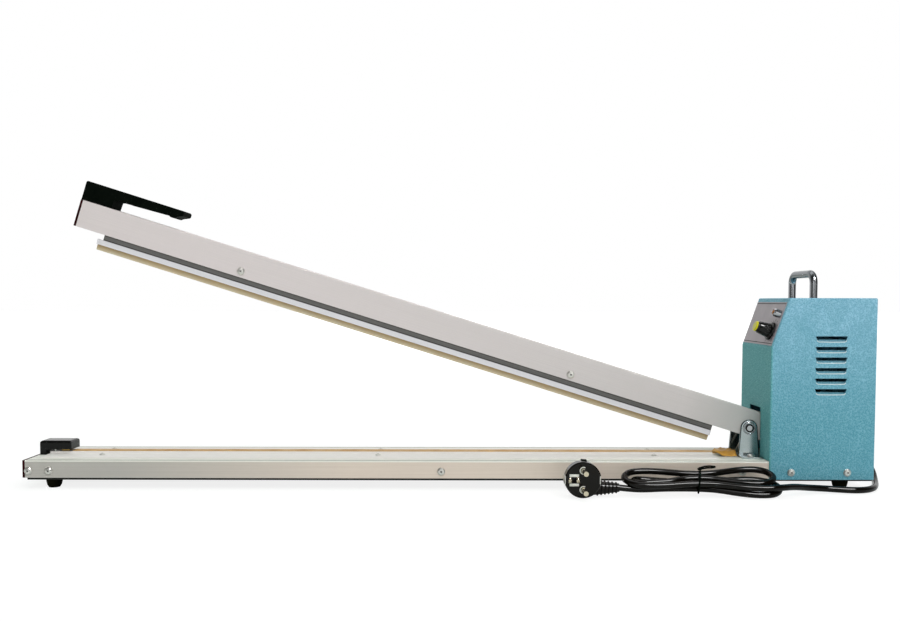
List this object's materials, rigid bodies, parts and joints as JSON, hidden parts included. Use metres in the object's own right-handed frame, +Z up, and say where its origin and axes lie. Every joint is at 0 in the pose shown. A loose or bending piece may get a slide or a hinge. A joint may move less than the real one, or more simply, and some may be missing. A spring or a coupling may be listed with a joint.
{
  "type": "impulse heat sealer",
  "caption": "Bench impulse heat sealer: long aluminium base with a heated bed, a sprung press arm hinged at a louvred teal housing with timer knob, lamp and carry handle, mains lead in a hank",
  "frame": {"origin": "on the table, under the middle of the base's length and width", "axes": "+X along the base towards the housing, +Y across the base towards the back, +Z up"},
  "size_m": [0.8951, 0.1589, 0.3189],
  "materials": {
    "teal_hammertone": "hammered enamel",
    "aluminium_brushed": "brushed",
    "aluminium_white": "satin anodised",
    "steel_plain": "bright zinc",
    "steel_black": "black paint",
    "chrome_plate": "polished",
    "black_moulding": "satin moulded",
    "black_gloss": "gloss moulded",
    "yellow_cap": "gloss moulded",
    "red_end_cap": "moulded",
    "black_rubber": "matt",
    "tan_silicone": "satin",
    "tan_ptfe_cloth": "coated glass cloth",
    "white_insulation": "glass tape",
    "ribbon_alloy": "bare",
    "brass_plain": "bare",
    "insulator": "moulded",
    "panel_film": "printed satin",
    "amber_lens": "clear moulded",
    "board_green": "bare",
    "core_iron": "laminated",
    "copper_coil": "enamelled winding"
  },
  "bodies": {
    "base": {"base_channel": "aluminium_brushed", "base_bottom_plate": "steel_black", "base_end_cap": "red_end_cap", "bed_bar": "aluminium_brushed", "insulation_strip": "white_insulation", "heating_ribbon": "ribbon_alloy", "ptfe_cover": "tan_ptfe_cloth", "ptfe_end_flap": "tan_ptfe_cloth", "clamp_strip_front": "aluminium_white", "clamp_strip_rear": "aluminium_white", "clamp_screws": "steel_plain", "terminal_cover": "black_moulding", "terminal_block_left": "insulator", "terminal_block_right": "insulator", "terminal_clamps": "brass_plain", "base_side_screws": "steel_plain", "foot_front_left": "black_rubber", "foot_front_right": "black_rubber", "foot_rear_left": "black_rubber", "foot_rear_right": "black_rubber", "foot_screws": "steel_plain", "hinge_bracket_front": "chrome_plate", "hinge_bracket_rear": "chrome_plate", "bracket_screws": "steel_plain", "hinge_pin": "chrome_plate", "pin_clip": "steel_plain", "return_spring": "steel_plain", "housing_cover": "teal_hammertone", "cover_screws": "steel_plain", "control_panel": "panel_film", "potentiometer": "steel_plain", "timer_board": "board_green", "lamp_bezel": "chrome_plate", "lamp_lens": "amber_lens", "carry_handle": "chrome_plate", "handle_nuts": "steel_plain", "transformer_core": "core_iron", "transformer_coil": "copper_coil", "transformer_bolts": "steel_plain", "switch_bracket": "steel_plain", "microswitch": "black_moulding", "switch_screws": "steel_plain", "cord_gland": "black_rubber", "power_cord": "black_rubber", "cord_hank": "black_rubber", "cord_tie": "black_moulding", "plug_body": "black_rubber", "plug_pins": "brass_plain", "plug_contacts": "brass_plain"},
    "arm": {"arm_channel": "aluminium_brushed", "arm_end_cap": "red_end_cap", "press_handle": "black_moulding", "handle_screws": "steel_plain", "seal_bar": "aluminium_white", "silicone_strip": "tan_silicone", "arm_screws": "steel_plain"},
    "knob": {"knob_body": "black_gloss", "knob_cap": "yellow_cap", "pot_shaft": "steel_plain"},
    "lever": {"switch_lever": "steel_plain"}
  },
  "joints": [
    {"name": "arm_hinge", "type": "hinge", "parent": "base", "child": "arm", "pos_m": [0.3185, 0, 0.0602], "axis": [0, -1, 0], "range_deg": [0, 17.3], "stiffness_Nm_per_rad": 4, "springref_deg": -63.03, "deforming": ["return_spring"]},
    {"name": "knob_turn", "type": "hinge", "parent": "base", "child": "knob", "pos_m": [0.33576, -0.0315, 0.16262], "axis": [-0.9436, 0, 0.3311], "range_deg": [-140, 140]},
    {"name": "lever_hinge", "type": "hinge", "parent": "base", "child": "lever", "pos_m": [0.373, 0, 0.0835], "axis": [0, 1, 0], "range_deg": [0, 20.5]}
  ],
  "couplings": [
    {"joint": "lever_hinge", "follows": "arm_hinge", "ratio": 1.15}
  ]
}
